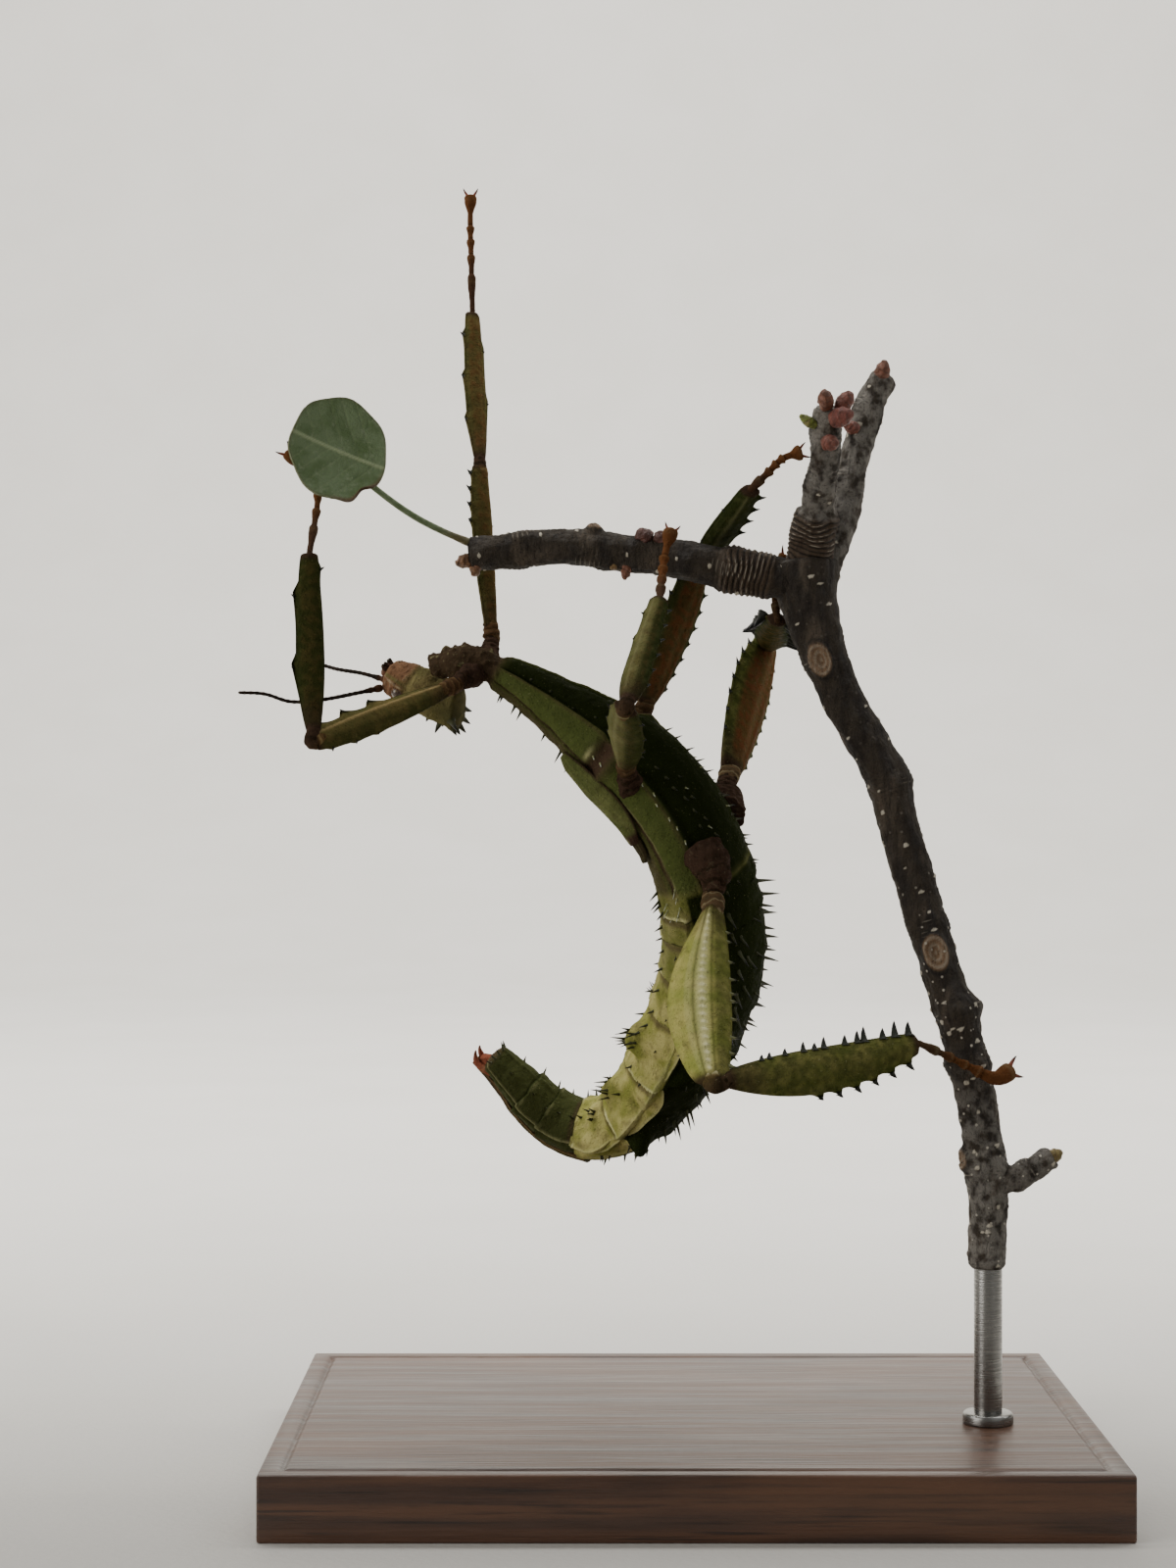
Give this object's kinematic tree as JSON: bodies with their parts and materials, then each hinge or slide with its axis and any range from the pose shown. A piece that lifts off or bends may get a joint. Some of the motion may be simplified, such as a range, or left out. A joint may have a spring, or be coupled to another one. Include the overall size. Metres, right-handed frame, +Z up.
{
  "type": "stick insect on a display stand",
  "caption": "Still life-size model of a spiny giant stick insect hanging back down from a twig, held by a plain display stand.",
  "frame": {"origin": "middle of the base's underside", "axes": "+Z up; -Y faces the viewer who sees the insect's right side; +X along the base, from the insect's head towards the upright stem"},
  "size_m": [0.1232, 0.078, 0.1925],
  "materials": {
    "cuticle_green": "waxy cuticle, olive and yellow-green with pale margins and dark spine tips",
    "cuticle_dark": "waxy cuticle, dark green with lighter flanks",
    "cuticle_brown": "matt granular cuticle, pinkish brown",
    "leg_green": "olive cuticle with pale ridges and dark teeth",
    "tarsus_red": "satin reddish brown cuticle, claws near black at the tip",
    "eye": "glossy, dark brown with a paler speckle",
    "antenna_dark": "satin near black, ringed",
    "wing_cover": "grey-green with dark specks and a brown tip",
    "bark": "rough grey-brown bark with pale lenticels",
    "leaf": "matt grey-green leaf with a pale midrib",
    "stand_wood": "stained near black, satin",
    "stand_steel": "brushed"
  },
  "bodies": {
    "root": {"head": "cuticle_green", "abdomen_2": "cuticle_green", "abdomen_3": "cuticle_green", "abdomen_4": "cuticle_green", "abdomen_5": "cuticle_green", "abdomen_6": "cuticle_green", "abdomen_7": "cuticle_green", "abdomen_8": "cuticle_green", "abdomen_9": "cuticle_green", "abdomen_10": "cuticle_green", "mesothorax": "cuticle_dark", "metathorax": "cuticle_dark", "prothorax": "cuticle_brown", "mouthparts": "cuticle_brown", "operculum": "cuticle_brown", "coxa_fore_left": "cuticle_brown", "coxa_fore_right": "cuticle_brown", "coxa_mid_left": "cuticle_brown", "coxa_mid_right": "cuticle_brown", "coxa_hind_left": "cuticle_brown", "coxa_hind_right": "cuticle_brown", "femur_fore_left": "leg_green", "femur_fore_right": "leg_green", "femur_mid_left": "leg_green", "femur_mid_right": "leg_green", "femur_hind_left": "leg_green", "femur_hind_right": "leg_green", "tibia_fore_left": "leg_green", "tibia_fore_right": "leg_green", "tibia_mid_left": "leg_green", "tibia_mid_right": "leg_green", "tibia_hind_left": "leg_green", "tibia_hind_right": "leg_green", "tarsus_fore_left": "tarsus_red", "tarsus_fore_right": "tarsus_red", "tarsus_mid_left": "tarsus_red", "tarsus_mid_right": "tarsus_red", "tarsus_hind_left": "tarsus_red", "tarsus_hind_right": "tarsus_red", "cerci": "tarsus_red", "eye_left": "eye", "eye_right": "eye", "antenna_left": "antenna_dark", "antenna_right": "antenna_dark", "tegmen_left": "wing_cover", "tegmen_right": "wing_cover", "perch_stem": "bark", "perch_branch": "bark", "perch_twig": "bark", "perch_upper": "bark", "perch_stub": "bark", "perch_leaf": "leaf", "stand_base": "stand_wood", "stand_rod": "stand_steel"}
  },
  "joints": []
}
